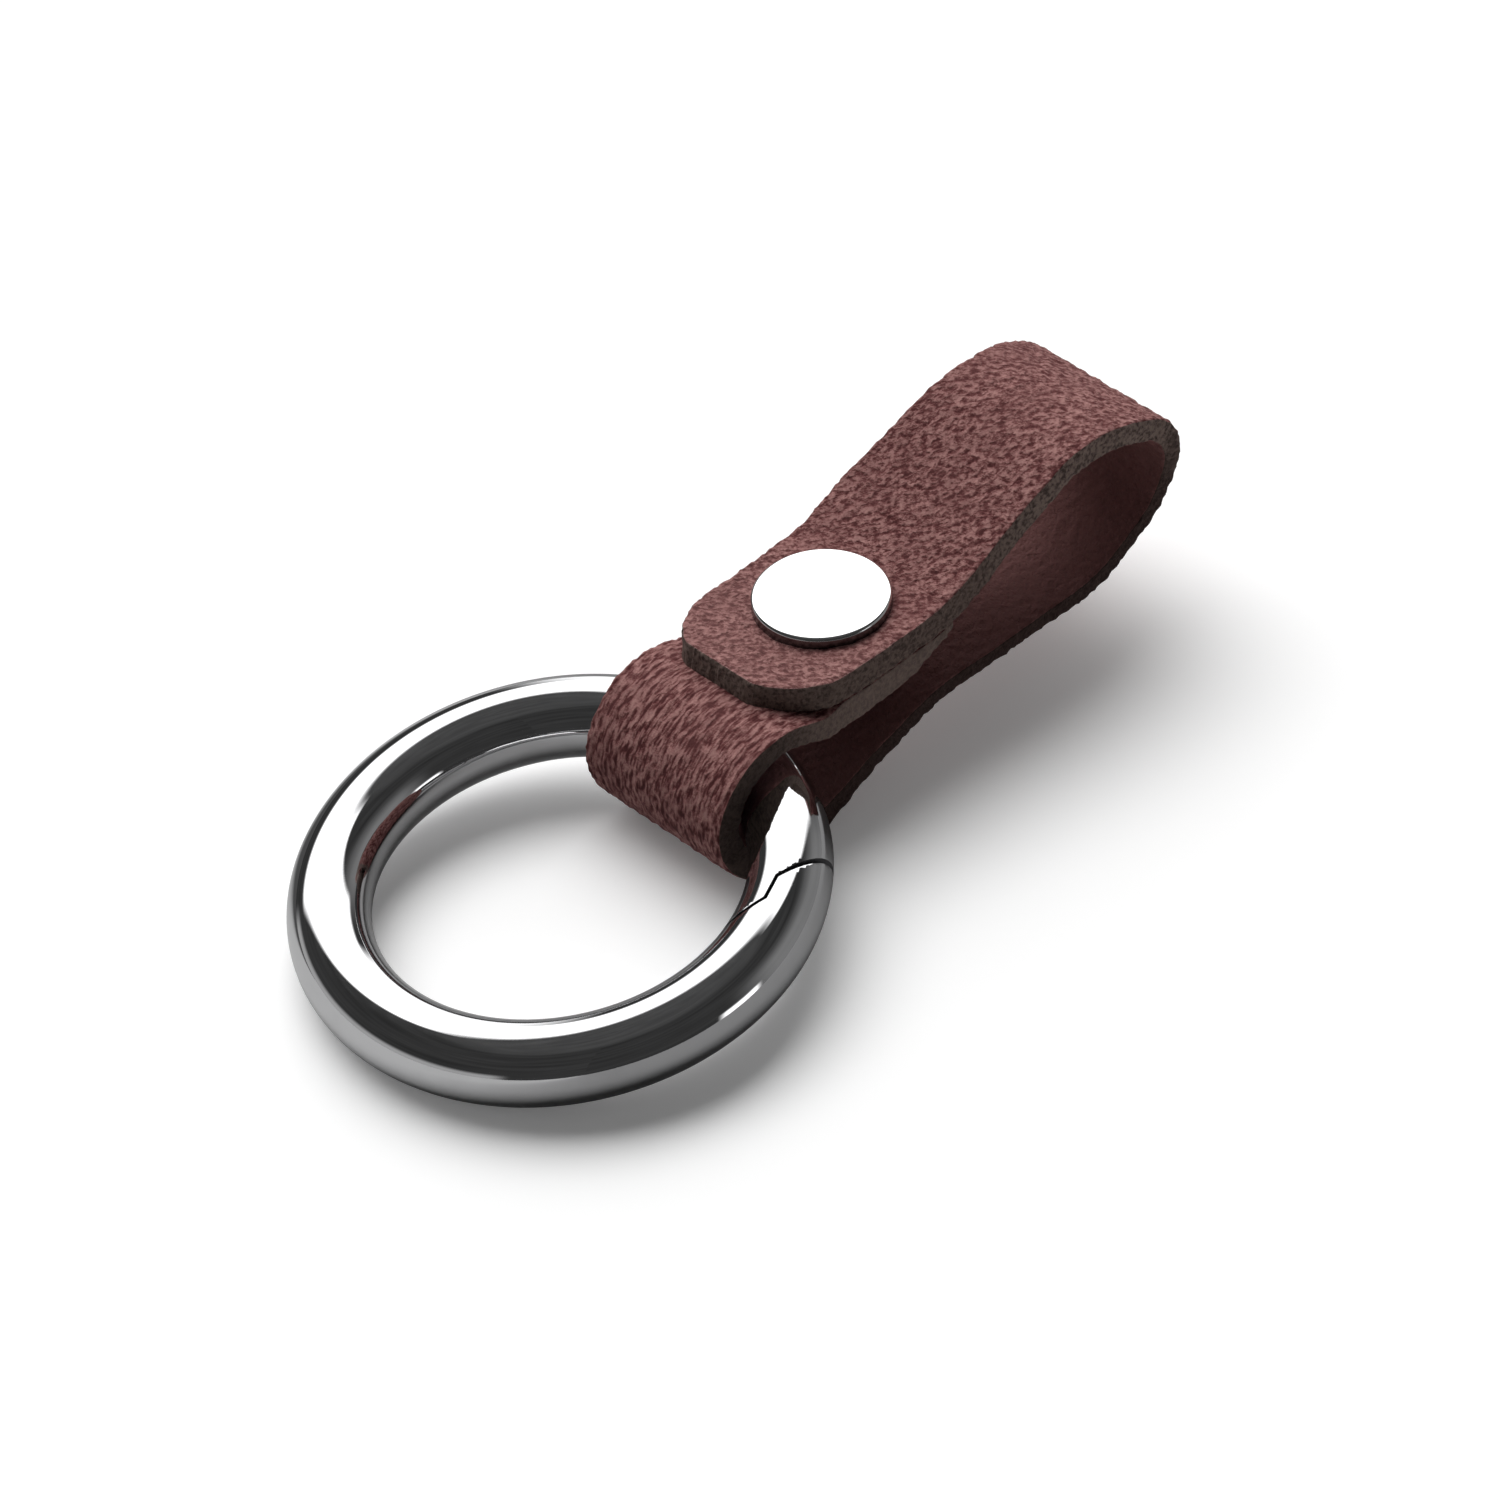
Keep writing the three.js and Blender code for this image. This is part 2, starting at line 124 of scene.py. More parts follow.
# How the leather differs from an even strap: presses, lifts, rounds and roughness
TAB_TIP_PRESS = 1.2
TAB_LIFT = 0.3
CREST_LIFT = 0.55
CREST_NEAR_SHARE = 0.35
FOLD_PRESS = 0.28
LAYER_LIFT = 0.33
FAR_EDGE_OUT = 0.15
FAR_CORNER_OUT = 0.15
FAR_CORNER_POWER = 0.65
CORNER_ROUND = 0.2
WAVE_LENGTH = 4.2
WAVE_HEIGHT = 0.24
LUMP_SIZE = 0.5
LUMP_HEIGHT = 0.26
THICKEST = 2.4
# Steps along the strap: how much, and where each starts and is done, from the ring's middle
CREST_RISE = [(0.12, 36, 44)]
LOWER_LEG_LIFT = [(0.5, 18, 23), (-0.38, 27, 34), (-0.12, 36, 42)]
LOOP_SET_BACK = [(0.3, 38, 44), (-0.3, 50, 52.5)]
UPPER_NEAR_EDGE = [(0.3, 36, 42), (-0.3, 46, 50), (-0.2, 48, 52)]
UPPER_FAR_EDGE = [(0.35, 26, 31), (-0.35, 33, 37), (-1.0, 34, 43), (0.75, 45, 50)]
LOWER_NEAR_EDGE = [(-0.2, 48, 52)]
LOWER_FAR_EDGE = [(-0.1, 46, 51)]
# The same for the share of the crest's lift, by the way along the strap from the tab's tip
CREST_BY_WAY = [(1.0, 19, 29), (-1.0, 41, 46)]
# The way along the strap from the tab's tip, and the leather's thickness there
LEATHER_BY_WAY = [
    (0, 2.1), (6, 2.2), (13, 2.2), (26, 1.95), (38, 1.75), (46, 1.35), (64, 1.2), (72, 1.4), (80, 1.9),
    (86, 2.0), (92, 1.92), (95, 1.82), (98, 1.68), (100, 1.68), (103, 2.3), (109, 2.1), (112, 1.0),
    (114.5, 0.4)]

# Rivet
CAP_RADIUS = 4.75
CAP_HEIGHT = 1.1
CAP_TOP = 13.552
BACK_CAP_RADIUS = 4.0
CAP_CORNER = 0.26
CAP_CROWN = 0.06

ring_frame = Matrix.Translation(RING_CENTRE * MM) @ Matrix.Rotation(-RING_TILT, 4, "Y")


# Working by hand

def begin():
    """Leaves edit mode with nothing selected."""
    if bpy.context.object is not None and bpy.context.object.mode != "OBJECT":
        bpy.ops.object.mode_set(mode="OBJECT")
    bpy.ops.object.select_all(action="DESELECT")


def take(piece):
    begin()
    piece.select_set(True)
    bpy.context.view_layer.objects.active = piece
    return piece


def settle(name):
    """Names the new object and puts its place into its mesh."""
    piece = bpy.context.object
    piece.name = name
    piece.data.name = name
    bpy.ops.object.transform_apply(location=True, rotation=True, scale=True)
    return piece


def apply_modifier(piece, kind, **settings):
    take(piece)
    modifier = piece.modifiers.new(kind.lower(), kind)
    for key, value in settings.items():
        setattr(modifier, key, value)
    bpy.ops.object.modifier_apply(modifier=modifier.name)


def carve(piece, tool, operation="DIFFERENCE"):
    """Cuts, joins or keeps what the tool covers, and throws the tool away."""
    apply_modifier(piece, "BOOLEAN", operation=operation, solver="EXACT", object=tool)
    bpy.data.objects.remove(tool)
    return piece


def all_out(piece):
    take(piece)
    bpy.ops.object.mode_set(mode="EDIT")
    bpy.ops.mesh.select_all(action="SELECT")
    bpy.ops.mesh.remove_doubles(threshold=2e-7)
    bpy.ops.mesh.normals_make_consistent(inside=False)
    bpy.ops.object.mode_set(mode="OBJECT")


def polar(radius, degrees):
    angle = math.radians(degrees)
    return Vector((radius * math.cos(angle), radius * math.sin(angle)))


hinge = polar(RING_RADIUS, HINGE_ANGLE)
outward = polar(1.0, HINGE_ANGLE)
along_body = Vector((-outward.y, outward.x))
along_stock = math.radians(HINGE_ANGLE + 90)
spring_line = ring_frame.to_3x3() @ along_body.to_3d()


def by_hinge(along, out):
    return hinge + along_body * along + outward * out


def on_ring(point, height=0.0):
    return ring_frame @ (Vector((point.x, point.y, height)) * MM)


def round_tool(point, radius, height, sides=192):
    """A cylinder that stands on the ring's plane."""
    begin()
    bpy.ops.mesh.primitive_cylinder_add(
        vertices=sides, radius=radius * MM, depth=height * MM,
        location=on_ring(point), rotation=(0, -RING_TILT, 0))
    return settle("tool")


def block_tool(point, size, turn):
    """A block that stands on the ring's plane, turned about the ring's axis."""
    begin()
    facing = (ring_frame.to_3x3() @ Matrix.Rotation(turn, 3, "Z")).to_euler()
    bpy.ops.mesh.primitive_cube_add(
        size=1, location=on_ring(point), rotation=facing, scale=Vector(size) * MM)
    return settle("tool")


def ring_stock(name):
    begin()
    bpy.ops.mesh.primitive_torus_add(
        location=RING_CENTRE * MM, rotation=(0, -RING_TILT, 0), major_segments=360, minor_segments=72,
        major_radius=RING_RADIUS * MM, minor_radius=STOCK_RADIUS * MM)
    return settle(name)


inner_corner = polar(*LATCH_INNER)
outer_corner = polar(*LATCH_OUTER)
lap_line = (outer_corner - inner_corner).normalized()
lap_inward = Vector((-lap_line.y, lap_line.x))

# Cutting tools go past the stock by far
TALL = 12.0
WIDE = 80.0


def gate_space(slot, seam):
    """The space of the gate: its latch end follows arcs about the hinge, with a lap between them."""
    nose = round_tool(hinge, (hinge - inner_corner).length + seam, TALL, 256)
    lap_middle = inner_corner - lap_inward * seam + lap_inward * (WIDE / 2)
    lap_turn = math.atan2(lap_line.y, lap_line.x)
    carve(nose, block_tool(lap_middle, (WIDE, WIDE, TALL * 2), lap_turn), "INTERSECT")
    carve(nose, round_tool(hinge, (hinge - outer_corner).length + slot, TALL + 2, 256), "UNION")
    gate_side = block_tool(by_hinge(-WIDE / 2, 0), (WIDE, WIDE, TALL * 2), along_stock)
    return carve(nose, gate_side, "INTERSECT")


def soften_cuts(piece):
    """A fine round on every cut edge, and smooth faces between them."""
    apply_modifier(piece, "BEVEL", width=CUT_ROUND * MM, segments=2, limit_method="ANGLE",
                   angle_limit=math.radians(40), use_clamp_overlap=True)
    take(piece)
    bpy.ops.object.shade_smooth_by_angle(angle=math.radians(32))


def mark_shaded_cut_faces(piece):
    """Keeps which faces were cut into the stock: the chrome paints them near black, as painted shade in
    the slots and seams, and makes them dull.
    """
    away = ring_frame.inverted()
    mark = piece.data.attributes.new("cut_face", "FLOAT", "FACE")
    for face in piece.data.polygons:
        x, y, z = (away @ face.center) / MM
        depth = STOCK_RADIUS - math.hypot(math.hypot(x, y) - RING_RADIUS, z)
        mark.data[face.index].value = ease(depth, *CUT_FACE_DEPTH)


def pin_hole():
    """The pin's hole, which stops short of the polished skin."""
    return round_tool(hinge, PIN_RADIUS + PIN_ROOM, 2 * (STOCK_RADIUS - PIN_SKIN), 64)


def make_ring_body():
    body = ring_stock("ring_body_polished")
    space = gate_space(SLOT_SHIFT + LATCH_SLOT / 2, SEAM / 2)
    carve(space, round_tool(hinge, KNUCKLE_RADIUS, TALL * 2, 96))
    carve(body, space)
    slot_height = TONGUE_THICKNESS + 2 * TONGUE_CLEARANCE
    slot_size = (FORK_SLOT_LENGTH, FORK_SLOT_WIDTH, slot_height)
    carve(body, block_tool(by_hinge(-FORK_SLOT_LENGTH / 2, 0), slot_size, along_stock))
    carve(body, round_tool(hinge, TONGUE_RADIUS + TONGUE_CLEARANCE, slot_height + 0.02, 96))
    carve(body, pin_hole())
    begin()
    bpy.ops.mesh.primitive_cylinder_add(
        vertices=48, radius=PLUNGER_BORE * MM, depth=PLUNGER_REACH * MM,
        location=on_ring(by_hinge(PLUNGER_REACH / 2, -PLUNGER_OFFSET)),
        rotation=spring_line.to_track_quat("Z", "Y").to_euler())
    carve(body, settle("tool"))
    all_out(body)
    soften_cuts(body)
    mark_shaded_cut_faces(body)
    return body


def make_gate():
    gate = ring_stock("gate_polished")
    carve(gate, gate_space(SLOT_SHIFT - LATCH_SLOT / 2, -SEAM / 2), "INTERSECT")
    carve(gate, round_tool(hinge, KNUCKLE_RADIUS + KNUCKLE_GAP, TALL, 96))
    tongue = round_tool(hinge, TONGUE_RADIUS, TONGUE_THICKNESS, 96)
    neck_size = (NECK_LENGTH, 2 * TONGUE_RADIUS - 0.1, TONGUE_THICKNESS - 0.02)
    carve(tongue, block_tool(by_hinge(-NECK_LENGTH / 2, 0), neck_size, along_stock), "UNION")
    carve(tongue, block_tool(by_hinge(HEEL + TALL / 2, 0), (TALL, TALL, TALL), along_stock))
    carve(gate, tongue, "UNION")
    carve(gate, pin_hole())
    all_out(gate)
    soften_cuts(gate)
    mark_shaded_cut_faces(gate)
    return gate


def turned(name, profile, sides=128):
    """A turned piece, drawn up from its first circle point by point, in millimetres."""
    begin()
    radius, height = profile[0]
    bpy.ops.mesh.primitive_circle_add(
        vertices=sides, radius=radius * MM, location=(0, 0, height * MM), fill_type="NGON")
    piece = settle(name)
    bpy.ops.object.mode_set(mode="EDIT")
    bpy.ops.mesh.select_all(action="SELECT")
    for (r0, h0), (r1, h1) in zip(profile, profile[1:]):
        bpy.ops.mesh.extrude_region_move(TRANSFORM_OT_translate={"value": (0, 0, (h1 - h0) * MM)})
        bpy.ops.transform.resize(value=(r1 / r0, r1 / r0, 1), center_override=(0, 0, h1 * MM))
    bpy.ops.mesh.select_all(action="SELECT")
    bpy.ops.mesh.normals_make_consistent(inside=False)
    bpy.ops.object.mode_set(mode="OBJECT")
    return piece


def place(piece, matrix):
    take(piece)
    piece.matrix_world = matrix
    bpy.ops.object.transform_apply(location=True, rotation=True, scale=True)
    bpy.ops.object.shade_smooth_by_angle(angle=math.radians(35))
    return piece


def make_spring():
    """A coil of round wire that stands on the spring's line behind the hinge."""
    begin()
    bpy.ops.mesh.primitive_circle_add(
        vertices=12, radius=SPRING_WIRE / 2 * MM, rotation=(math.pi / 2, 0, 0),
        location=(SPRING_RADIUS * MM, 0, SPRING_WIRE / 2 * MM))
    spring = settle("gate_spring_coiled")
    apply_modifier(spring, "SCREW", axis="Z", angle=2 * math.pi, screw_offset=SPRING_PITCH * MM,
                   iterations=SPRING_TURNS, steps=32, render_steps=32)
    bpy.ops.object.mode_set(mode="EDIT")
    bpy.ops.mesh.select_all(action="SELECT")
    bpy.ops.mesh.fill_holes(sides=0)
    bpy.ops.object.mode_set(mode="OBJECT")
    all_out(spring)
    line = Matrix((outward.to_3d(), (0, 0, -1), along_body.to_3d())).transposed().to_4x4()
    foot = by_hinge(SPRING_START, -PLUNGER_OFFSET).to_3d() * MM
    return place(spring, ring_frame @ Matrix.Translation(foot) @ line)


def cap_profile(radius, height):
    """A drawn cap: rolled lip, straight skirt, round shoulder and a nearly flat crown."""
    lip = [(0.75, 0.12), (0.7, 0.0), (0.16, 0.0), (0.05, 0.05), (0.0, 0.16)]
    profile = [(radius - inward, rise) for inward, rise in lip]
    flat = radius - CAP_CORNER
    shoulder = height - CAP_CROWN - CAP_CORNER
    for i in range(9):
        angle = math.radians(11.25 * i)
        profile.append((flat + CAP_CORNER * math.cos(angle), shoulder + CAP_CORNER * math.sin(angle)))
    for share in (0.9, 0.7, 0.45, 0.2, 0.02):
        profile.append((flat * share, height - CAP_CROWN * share * share))
    return profile


# Strap

def leg(run, rise, blend_radius, bend_radius):
    drop = rise - blend_radius
    slope = math.asin((bend_radius + blend_radius) / math.hypot(run, drop)) + math.atan2(drop, run)
    return slope, run * math.cos(slope) + drop * math.sin(slope)


class Route:
    """The strap's middle line, seen from the side, in stations about a millimetre apart."""

    def __init__(self, x, z, heading):
        self.stations = [(x, z, heading)]

    def line(self, length, pitch=STATION_PITCH):
        x, z, heading = self.stations[-1]
        count = max(1, math.ceil(length / pitch))
        for i in range(1, count + 1):
            run = length * i / count
            self.stations.append((x + run * math.cos(heading), z + run * math.sin(heading), heading))
        return self

    def arc(self, radius, turn, pitch=STATION_PITCH):
        x, z, heading = self.stations[-1]
        side = math.copysign(1, turn)
        count = max(2, math.ceil(abs(turn) * radius / pitch))
        for i in range(1, count + 1):
            now = heading + turn * i / count
            self.stations.append((
                x + side * radius * (math.sin(now) - math.sin(heading)),
                z - side * radius * (math.cos(now) - math.cos(heading)),
                now))
        return self


def strap_route():
    shoulder, shoulder_run = leg(LEVEL_START - FOLD.x, FOLD.y - SECOND_LAYER_Z, SHOULDER_RADIUS, FOLD_MID)
    lower, lower_run = leg(LEG_BLEND_X - FOLD.x, LOWER_LEG_Z - FOLD.y, LEG_BLEND_RADIUS, FOLD_MID)
    blend = SHOULDER_RADIUS - (TAB_Z - SECOND_LAYER_Z)
    blend_x = LEVEL_START - blend * math.sin(shoulder)
    blend_z = TAB_Z + blend * (1 - math.cos(shoulder))
    run = (blend_x - TAB_TIP_X) / math.cos(shoulder)
    route = Route(blend_x - run * math.cos(shoulder), blend_z + run * math.sin(shoulder), -shoulder)
    level = LEVEL_END - LEVEL_START
    for step in TIP_STATIONS:
        route.line(step)
    route.line(run - sum(TIP_STATIONS), TAB_PITCH).arc(blend, shoulder, TAB_PITCH).line(level)
    route.arc(LOOP_BLEND_RADIUS, LOOP_RISE_ANGLE).line(LOOP_RISE_LENGTH)
    route.arc(LOOP_CROWN_RADIUS, -LOOP_RISE_ANGLE - LOOP_FALL_ANGLE).line(LOOP_FALL_LENGTH)
    route.arc(LOOP_END_RADIUS, LOOP_FALL_ANGLE + LOOP_RETURN_ANGLE - math.pi, LOOP_END_PITCH)
    drop = route.stations[-1][1] - LOWER_LEG_Z - LOOP_RETURN_RADIUS * (1 - math.cos(LOOP_RETURN_ANGLE))
    route.line(drop / math.sin(LOOP_RETURN_ANGLE)).arc(LOOP_RETURN_RADIUS, -LOOP_RETURN_ANGLE)
    route.line(route.stations[-1][0] - LEG_BLEND_X)
    route.arc(LEG_BLEND_RADIUS, lower).line(lower_run)
    route.arc(FOLD_MID, -math.pi - lower - shoulder).line(shoulder_run)
    route.arc(SHOULDER_RADIUS, shoulder).line(level)
    route.arc(LOOP_BLEND_RADIUS + THICKNESS, LAYER_END_ANGLE)
    middle = route.stations[1:]
    ways = [0.0]
    for (x0, z0, _), (x1, z1, _) in zip(middle, middle[1:]):
        ways.append(ways[-1] + math.hypot(x1 - x0, z1 - z0))
    outer = [(x - OUTER * math.sin(heading), z + OUTER * math.cos(heading)) for x, z, heading in middle]
    return [pressed(x, z, index) for index, (x, z) in enumerate(outer)], ways


def ease(value, low, high):
    share = min(1.0, max(0.0, (value - low) / (high - low)))
    return share * share * (3 - 2 * share)


def steps_at(place, steps):
    """What the steps add up to at this place."""
    return sum(amount * ease(place, start, done) for amount, start, done in steps)


def pressed(x, z, index):
    """The rivet draws the layers together and the tab's tip down on the fold."""
    past_level = x - LEVEL_START
    if index < LOOP_STATIONS:
        tip = TAB_TIP_PRESS * (1 - ease(past_level, TAB_TIP_X - LEVEL_START, 0.6))
        tab = TAB_LIFT * (1 - ease(x - LEVEL_END, 0, 4))
        return x, z + tab - tip + steps_at(x, CREST_RISE)
    above_fold = z - FOLD.y
    over_fold = ease(above_fold, 0, 3.2) * (1 - ease(past_level, 0.6, 1.2))
    layer = ease(above_fold, 2.4, 3.0) * ease(past_level, -1.5, 0)
    lower = (1 - ease(above_fold, 1.5, 4.5)) * steps_at(x, LOWER_LEG_LIFT)
    lift = LAYER_LIFT * layer - FOLD_PRESS * over_fold * (1 - layer) + lower
    return x + steps_at(x, LOOP_SET_BACK), z + lift


def edges_at(x, index):
    """How far both edges lie from the middle: a round tab, and edges that wander a little."""
    if index < LOOP_STATIONS:
        near = HALF_WIDTH + steps_at(x, UPPER_NEAR_EDGE)
        far = HALF_WIDTH + FAR_EDGE_OUT + steps_at(x, UPPER_FAR_EDGE)
    else:
        near = HALF_WIDTH + steps_at(x, LOWER_NEAR_EDGE)
        far = HALF_WIDTH + steps_at(x, LOWER_FAR_EDGE)
    depth = (x - TAB_TIP_X) / TAB_END_RADIUS
    share = 1.0
    if index < TAB_STATIONS and depth < 1:
        share = math.sqrt(max(0.0, 2 * depth - depth ** 2))
    return min(near, share * TAB_END_RADIUS), min(far, share ** FAR_CORNER_POWER * (far + FAR_CORNER_OUT))


def row_at(x, z, index):
    """The strap's middle and its width at a station."""
    near, far = edges_at(x, index)
    return Vector(((x + RING_X) * MM, (far - near) / 2 * MM, z * MM)), near + far


def lay_strap(stations):
    """One row of edges, drawn out from station to station."""
    begin()
    bpy.ops.mesh.primitive_grid_add(x_subdivisions=1, y_subdivisions=STRAP_ROWS, size=2 * MM)
    piece = settle("strap_suede")
    bpy.ops.object.mode_set(mode="EDIT")
    bpy.ops.mesh.select_all(action="DESELECT")
    bpy.ops.object.mode_set(mode="OBJECT")
    for vertex in piece.data.vertices:
        vertex.select = vertex.co.x > 0
    bpy.ops.object.mode_set(mode="EDIT")
    bpy.ops.mesh.delete(type="VERT")
    bpy.ops.mesh.select_all(action="SELECT")
    rows = [row_at(x, z, index) for index, (x, z) in enumerate(stations)]
    here, width = rows[0]
    bpy.ops.transform.translate(value=here + Vector((MM, 0, 0)))
    bpy.ops.transform.resize(value=(1, width / 2, 1), center_override=here)
    for there, next_width in rows[1:]:
        bpy.ops.mesh.extrude_edges_move(TRANSFORM_OT_translate={"value": there - here})
        if abs(next_width - width) > 1e-6:
            bpy.ops.transform.resize(value=(1, next_width / width, 1), center_override=there)
        here, width = there, next_width
    bpy.ops.mesh.select_all(action="SELECT")
    bpy.ops.mesh.flip_normals()
    bpy.ops.object.mode_set(mode="OBJECT")
    return piece


def round_corners(piece):
    take(piece)
    bpy.ops.object.mode_set(mode="EDIT")
    bpy.ops.mesh.select_all(action="DESELECT")
    bpy.ops.mesh.select_mode(type="EDGE")
    bpy.ops.mesh.edges_select_sharp(sharpness=math.radians(55))
    bpy.ops.mesh.bevel(offset=CORNER_ROUND * MM, segments=2, affect="EDGES", clamp_overlap=True)
    bpy.ops.mesh.select_mode(type="VERT")
    bpy.ops.object.mode_set(mode="OBJECT")


def make_strap():
    stations, ways = strap_route()
    piece = lay_strap(stations)
    measure_along(piece, stations, ways)
    set_thickness(piece)
    for side in ("face", "cut", "inner"):
        piece.data.materials.append(bpy.data.materials.new(side))
    apply_modifier(
        piece, "SOLIDIFY", thickness=THICKEST * MM, offset=-1, use_even_offset=True, use_rim=True,
        material_offset=2, material_offset_rim=1, vertex_group="leather", thickness_vertex_group=0.0)
    all_out(piece)
    round_corners(piece)
    apply_modifier(piece, "SUBSURF", levels=2, render_levels=2)
    apply_modifier(
        piece, "DISPLACE", direction="Z", vertex_group="crest", strength=CREST_LIFT * MM, mid_level=0.0)
    mark_cut_edges(piece)
    roughen(piece)
    take(piece)
    bpy.ops.object.shade_smooth()
    return piece


def measure_along(piece, stations, ways):
    """Keeps each point's way along the strap, in millimetres from the tab's tip."""
    along = piece.data.attributes.new("along", "FLOAT", "POINT")
    for vertex in piece.data.vertices:
        x = vertex.co.x / MM - RING_X
        z = vertex.co.z / MM
        apart = [abs(there[0] - x) + abs(there[1] - z) for there in stations]
        along.data[vertex.index].value = ways[apart.index(min(apart))]


def set_thickness(piece):
    """How thick the leather is along its way, and how much of the crest's lift each point takes."""
    ways = [point.value for point in piece.data.attributes["along"].data]
    leather = piece.vertex_groups.new(name="leather")
    crest = piece.vertex_groups.new(name="crest")
    for vertex, way in zip(piece.data.vertices, ways):
        thick = LEATHER_BY_WAY[-1][1]
        for (start, first), (end, last) in zip(LEATHER_BY_WAY, LEATHER_BY_WAY[1:]):
            if start <= way < end:
                thick = first + (last - first) * ease(way, start, end)
        leather.add([vertex.index], thick / THICKEST, "REPLACE")
        far_share = 0.5 + vertex.co.y / MM / HALF_WIDTH / 2
        lift = steps_at(way, CREST_BY_WAY) * (CREST_NEAR_SHARE + (1 - CREST_NEAR_SHARE) * far_share)
        crest.add([vertex.index], lift, "REPLACE")


def mark_cut_edges(piece):
    """Keeps how far each point lies in the cut edge and in the inner side, softened over the corners."""
    mesh = piece.data
    near = [[] for _ in mesh.vertices]
    for edge in mesh.edges:
        a, b = edge.vertices
        near[a].append(b)
        near[b].append(a)
    top = max(mesh.polygons, key=lambda face: face.center.z)
    inner = 2 if top.material_index == 0 else 0
    for name, side, rounds in (("cut", 1, 3), ("inner", inner, 2)):
        share = [0.0] * len(mesh.vertices)
        count = [0] * len(mesh.vertices)
        for face in mesh.polygons:
            for v in face.vertices:
                share[v] += face.material_index == side
                count[v] += 1
        share = [s / max(1, c) for s, c in zip(share, count)]
        for _ in range(rounds):
            beside = [sum(share[n] for n in others) / len(others) for others in near]
            share = [0.5 * s + 0.5 * b for s, b in zip(share, beside)]
        kept = mesh.attributes.new(name, "FLOAT", "POINT")
        kept.data.foreach_set("value", share)
    for face in mesh.polygons:
        face.material_index = 0
    mesh.materials.clear()


def roughen(piece):
    """Uneven leather: slow waves along the cut edges, and the nap's small lumps."""
    waves = bpy.data.textures.new("slow_waves", "CLOUDS")
    waves.noise_scale = WAVE_LENGTH * MM
    apply_modifier(
        piece, "DISPLACE", texture=waves, texture_coords="LOCAL", direction="Y",
        strength=WAVE_HEIGHT * MM, mid_level=0.5)
    lumps = bpy.data.textures.new("nap_lumps", "CLOUDS")
    lumps.noise_scale = LUMP_SIZE * MM
    lumps.noise_depth = 1
    apply_modifier(
        piece, "DISPLACE", texture=lumps, texture_coords="LOCAL", direction="NORMAL",
        strength=LUMP_HEIGHT * MM, mid_level=0.5)


# Finishes

class Shade:
    """A socket of a finish, used in plain sums."""

    def __init__(self, sheet, socket):
        self.sheet = sheet
        self.socket = socket

    def sum(self, operation, first, second):
        return node(self.sheet, "ShaderNodeMath", {"operation": operation}, {0: first, 1: second})

    def __add__(self, other):
        return self.sum("ADD", self, other)

    def __radd__(self, other):
        return self.sum("ADD", other, self)

    def __sub__(self, other):
        return self.sum("SUBTRACT", self, other)

    def __rsub__(self, other):
        return self.sum("SUBTRACT", other, self)

    def __mul__(self, other):
        return self.sum("MULTIPLY", self, other)

    def __rmul__(self, other):
        return self.sum("MULTIPLY", other, self)


def node(sheet, kind, settings=None, sockets=None, output=0):
    """A node of any kind: its settings first, then the values or links of its sockets."""
    made = sheet.nodes.new(kind)
    for key, value in (settings or {}).items():
        setattr(made, key, value)
    for key, value in (sockets or {}).items():
        if isinstance(value, Shade):
            sheet.links.new(value.socket, made.inputs[key])
        else:
            made.inputs[key].default_value = value
    return Shade(sheet, made.outputs[output]) if made.outputs else None


def mixed(sheet, share, first, second):
    """A mix of two colours, by the sockets that the Mix node keeps for colours."""
    return node(sheet, "ShaderNodeMix", {"data_type": "RGBA"}, {0: share, 6: first, 7: second}, output=2)


def colour(red, green, blue):
    """A colour as the eye reads it, from 0 to 255, for a node's socket."""
    shares = [value / 255 for value in (red, green, blue)]
    return tuple(((share + 0.055) / 1.055) ** 2.4 for share in shares) + (1.0,)


def grey(level):
    return level, level, level, 1.0


def finish(name):
    material = bpy.data.materials.new(name)
    material.use_nodes = True
    sheet = material.node_tree
    sheet.nodes.clear()
    return material, sheet


def surface(sheet, **sockets):
    named = {key.replace("_", " "): value for key, value in sockets.items()}
    shader = node(sheet, "ShaderNodeBsdfPrincipled", None, named)
    node(sheet, "ShaderNodeOutputMaterial", None, {"Surface": shader})


def smooth_step(sheet, value, low, high):
    return node(sheet, "ShaderNodeMapRange", {"interpolation_type": "SMOOTHSTEP"},
                {"Value": value, "From Min": low, "From Max": high})


def stretch(sheet, value, rise, fall):
    """1 between two soft ends, each given by where it starts and is done."""
    return smooth_step(sheet, value, *rise) * (1 - smooth_step(sheet, value, *fall))


def place_in_mm(sheet, factors=(1.0, 1.0, 1.0)):
    """The point on the piece in millimetres, times a factor along each axis."""
    point = node(sheet, "ShaderNodeTexCoord", None, None, output="Object")
    to_mm = Vector(factors) / MM
    return node(sheet, "ShaderNodeVectorMath", {"operation": "MULTIPLY"}, {0: point, 1: to_mm})


def part_along(sheet, point, line):
    sockets = {0: point, 1: line}
    return node(sheet, "ShaderNodeVectorMath", {"operation": "DOT_PRODUCT"}, sockets, output="Value")


def kept_mark(sheet, name):
    """A value that the piece keeps at each of its points or faces."""
    return node(sheet, "ShaderNodeAttribute", {"attribute_name": name}, None, output=2)


def noise(sheet, point, scale, detail=2.0, rough=0.5):
    sockets = {"Vector": point, "Scale": scale, "Detail": detail, "Roughness": rough}
    return node(sheet, "ShaderNodeTexNoise", None, sockets)


